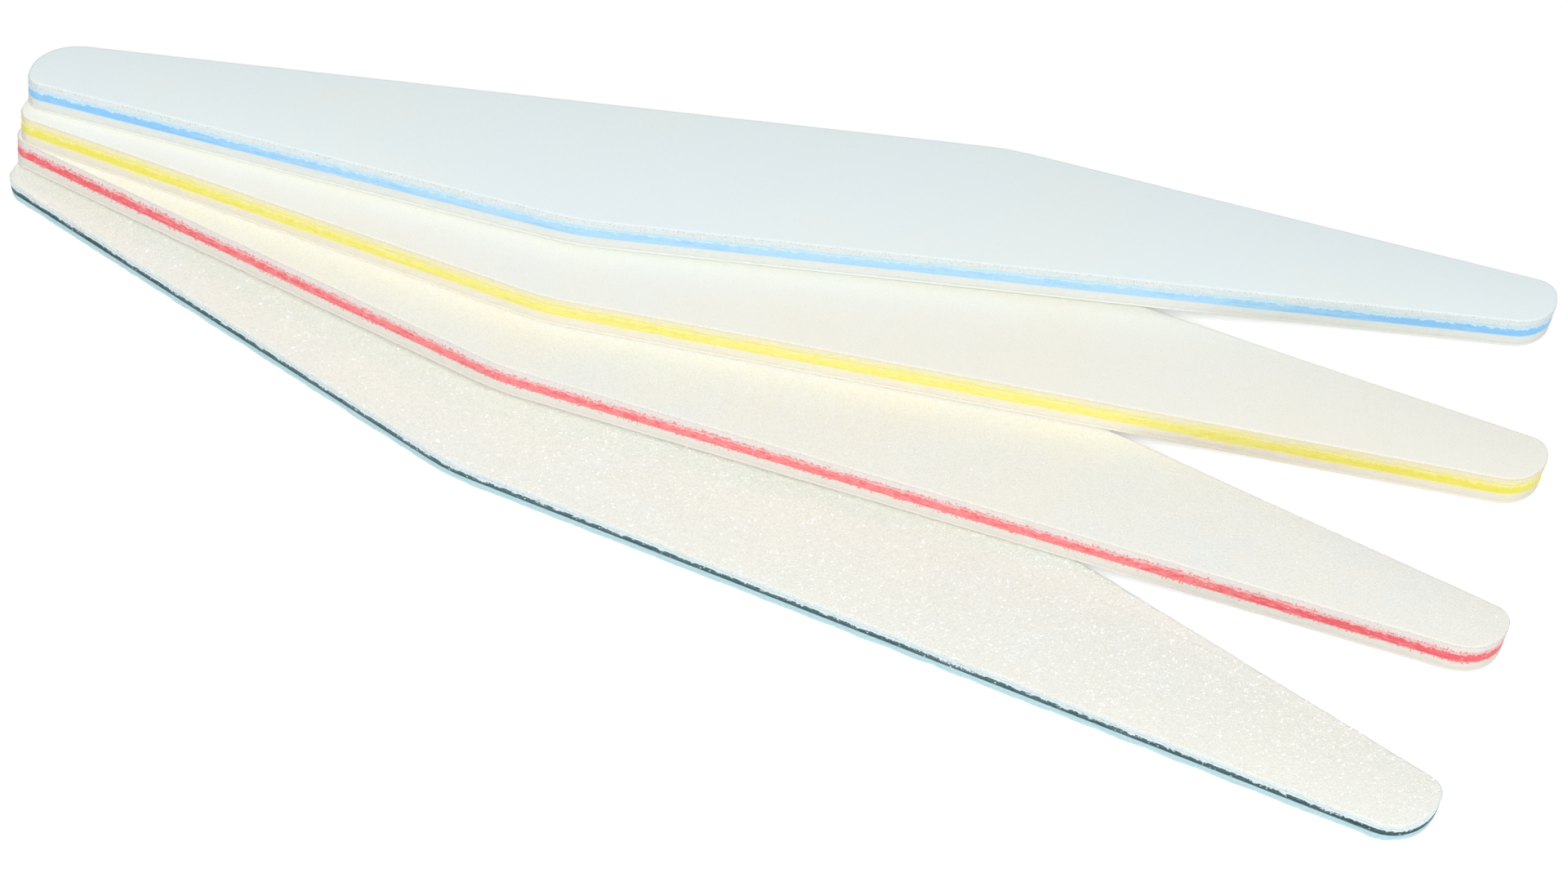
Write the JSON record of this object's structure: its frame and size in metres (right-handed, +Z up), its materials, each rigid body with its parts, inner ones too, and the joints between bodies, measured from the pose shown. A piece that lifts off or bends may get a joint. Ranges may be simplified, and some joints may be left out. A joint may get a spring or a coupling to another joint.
{
  "type": "nail buffer set",
  "caption": "Fanned stack of double-sided nail buffers: abrasive sheets on foam pads, glued to stiff coloured cores, lozenge outline with rounded tips.",
  "frame": {"origin": "middle of the underside of the bottom, black-cored buffer, on the table face", "axes": "+X along the bottom buffer from tip to tip, +Y towards the side that the others fan out to, +Z up through the stack"},
  "size_m": [0.1781, 0.0843, 0.0156],
  "materials": {
    "black_file_abrasive": "grit bonded to a flexible backing sheet, coarse",
    "black_file_foam": "closed-cell foam, cut edge",
    "black_file_core": "die-cut plastic board, coloured through",
    "red_file_abrasive": "grit bonded to a flexible backing sheet, medium",
    "red_file_foam": "closed-cell foam, cut edge",
    "red_file_core": "die-cut plastic board, coloured through",
    "yellow_file_abrasive": "grit bonded to a flexible backing sheet, medium",
    "yellow_file_foam": "closed-cell foam, cut edge",
    "yellow_file_core": "die-cut plastic board, coloured through",
    "blue_file_abrasive": "grit bonded to a flexible backing sheet, fine",
    "blue_file_foam": "closed-cell foam, cut edge",
    "blue_file_core": "die-cut plastic board, coloured through",
    "adhesive_film": "thin double-sided adhesive film"
  },
  "bodies": {
    "black_core_file": {"black_lower_abrasive_sheet": "black_file_abrasive", "black_lower_face_film": "adhesive_film", "black_lower_foam_pad": "black_file_foam", "black_lower_core_film": "adhesive_film", "black_core_board": "black_file_core", "black_upper_core_film": "adhesive_film", "black_upper_foam_pad": "black_file_foam", "black_upper_face_film": "adhesive_film", "black_upper_abrasive_sheet": "black_file_abrasive"},
    "red_core_file": {"red_lower_abrasive_sheet": "red_file_abrasive", "red_lower_face_film": "adhesive_film", "red_lower_foam_pad": "red_file_foam", "red_lower_core_film": "adhesive_film", "red_core_board": "red_file_core", "red_upper_core_film": "adhesive_film", "red_upper_foam_pad": "red_file_foam", "red_upper_face_film": "adhesive_film", "red_upper_abrasive_sheet": "red_file_abrasive"},
    "yellow_core_file": {"yellow_lower_abrasive_sheet": "yellow_file_abrasive", "yellow_lower_face_film": "adhesive_film", "yellow_lower_foam_pad": "yellow_file_foam", "yellow_lower_core_film": "adhesive_film", "yellow_core_board": "yellow_file_core", "yellow_upper_core_film": "adhesive_film", "yellow_upper_foam_pad": "yellow_file_foam", "yellow_upper_face_film": "adhesive_film", "yellow_upper_abrasive_sheet": "yellow_file_abrasive"},
    "blue_core_file": {"blue_lower_abrasive_sheet": "blue_file_abrasive", "blue_lower_face_film": "adhesive_film", "blue_lower_foam_pad": "blue_file_foam", "blue_lower_core_film": "adhesive_film", "blue_core_board": "blue_file_core", "blue_upper_core_film": "adhesive_film", "blue_upper_foam_pad": "blue_file_foam", "blue_upper_face_film": "adhesive_film", "blue_upper_abrasive_sheet": "blue_file_abrasive"}
  },
  "joints": [
    {"name": "red_file_lift", "type": "slide", "parent": "black_core_file", "child": "red_core_file", "axis": [0, 0, 1], "range_m": [0, 0.04]},
    {"name": "yellow_file_lift", "type": "slide", "parent": "red_core_file", "child": "yellow_core_file", "axis": [0, 0, 1], "range_m": [0, 0.04]},
    {"name": "blue_file_lift", "type": "slide", "parent": "yellow_core_file", "child": "blue_core_file", "axis": [0, 0, 1], "range_m": [0, 0.04]}
  ]
}
